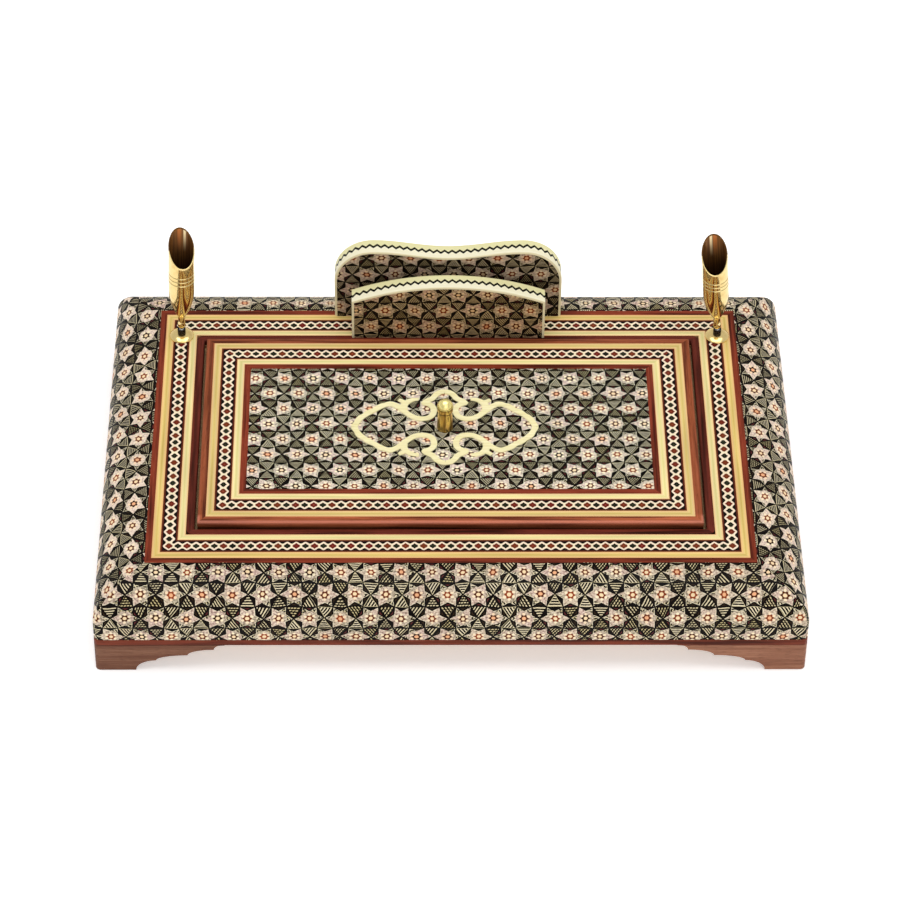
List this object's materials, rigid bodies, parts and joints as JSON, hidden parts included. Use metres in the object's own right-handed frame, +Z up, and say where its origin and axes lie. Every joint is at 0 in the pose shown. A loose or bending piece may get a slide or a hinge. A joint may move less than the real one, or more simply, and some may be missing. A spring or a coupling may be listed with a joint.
{
  "type": "pen box",
  "caption": "Low inlaid desk box with cushion-shaped sides, bracket feet, a lift-off lid with a knob, a card rack and swivelling pen funnels.",
  "frame": {"origin": "centre of the footprint on the table, under the middle of the box", "axes": "+X along the box to the right as seen from the user, +Y away from the user towards the rack, +Z up"},
  "size_m": [0.35, 0.2354, 0.1186],
  "materials": {
    "core_wood": "plain sanded poplar",
    "khatam": "lacquered star-pattern inlay of wood, bone and brass",
    "khatam_border": "lacquered chain of small inlaid stars",
    "red_wood": "lacquered reddish wood",
    "foot_wood": "varnished brown wood",
    "cream_wood": "lacquered pale wood and bone lines",
    "velvet": "short velvet pile",
    "brass": "polished",
    "dark_metal": "polished black chrome",
    "steel": "bright zinc"
  },
  "bodies": {
    "case": {"bottom_board": "core_wood", "bottom_screws": "steel", "base_trim": "red_wood", "ledge_strips": "core_wood", "lining_floor": "velvet", "lining_walls": "velvet", "wall_front": "core_wood", "wall_back": "core_wood", "wall_left": "core_wood", "wall_right": "core_wood", "cushion_block_front": "core_wood", "cushion_block_back": "core_wood", "cushion_block_left": "core_wood", "cushion_block_right": "core_wood", "khatam_side_front": "khatam", "khatam_side_back": "khatam", "khatam_side_left": "khatam", "khatam_side_right": "khatam", "foot_front_left": "foot_wood", "foot_front_right": "foot_wood", "foot_back_left": "foot_wood", "foot_back_right": "foot_wood", "foot_glue_blocks": "core_wood", "frame_red_line": "red_wood", "frame_cream_line": "cream_wood", "frame_khatam_border": "khatam_border", "frame_inner_cream": "cream_wood", "opening_lipping": "red_wood", "rack_front_core": "core_wood", "rack_front_khatam_front": "khatam", "rack_front_khatam_rear": "khatam", "rack_front_banding": "cream_wood", "rack_back_core": "core_wood", "rack_back_khatam_front": "khatam", "rack_back_khatam_rear": "khatam", "rack_back_banding": "cream_wood", "rack_spacer": "core_wood", "rack_dowels": "core_wood", "funnel_flange_left": "brass", "funnel_flange_right": "brass", "funnel_socket_left": "dark_metal", "funnel_socket_right": "dark_metal", "funnel_studs": "steel"},
    "lid": {"lid_core": "core_wood", "lid_edge": "red_wood", "lid_cream_line": "cream_wood", "lid_khatam_border": "khatam_border", "lid_inner_cream": "cream_wood", "lid_red_line": "red_wood", "lid_khatam_panel": "khatam", "medallion": "cream_wood", "knob": "brass", "knob_screw": "steel", "knob_washer": "steel", "lid_cleats": "core_wood"},
    "left_ball": {"ball_stem_left": "steel"},
    "left_funnel": {"pen_funnel_left": "brass"},
    "right_ball": {"ball_stem_right": "steel"},
    "right_funnel": {"pen_funnel_right": "brass"}
  },
  "joints": [
    {"name": "lid_lift", "type": "slide", "parent": "case", "child": "lid", "axis": [0, 0, 1], "range_m": [0, 0.08]},
    {"name": "left_funnel_tilt", "type": "hinge", "parent": "case", "child": "left_ball", "pos_m": [-0.1385, 0.073, 0.0543], "axis": [1, 0, 0], "range_deg": [-20, 20]},
    {"name": "left_funnel_spin", "type": "hinge", "parent": "left_ball", "child": "left_funnel", "pos_m": [-0.1385, 0.073, 0.0543], "axis": [0.0384, 0, 0.9993], "continuous": true},
    {"name": "right_funnel_tilt", "type": "hinge", "parent": "case", "child": "right_ball", "pos_m": [0.1401, 0.073, 0.0543], "axis": [1, 0, 0], "range_deg": [-24.4, 15.6]},
    {"name": "right_funnel_spin", "type": "hinge", "parent": "right_ball", "child": "right_funnel", "pos_m": [0.1401, 0.073, 0.0543], "axis": [-0.0872, -0.0764, 0.9933], "continuous": true}
  ]
}
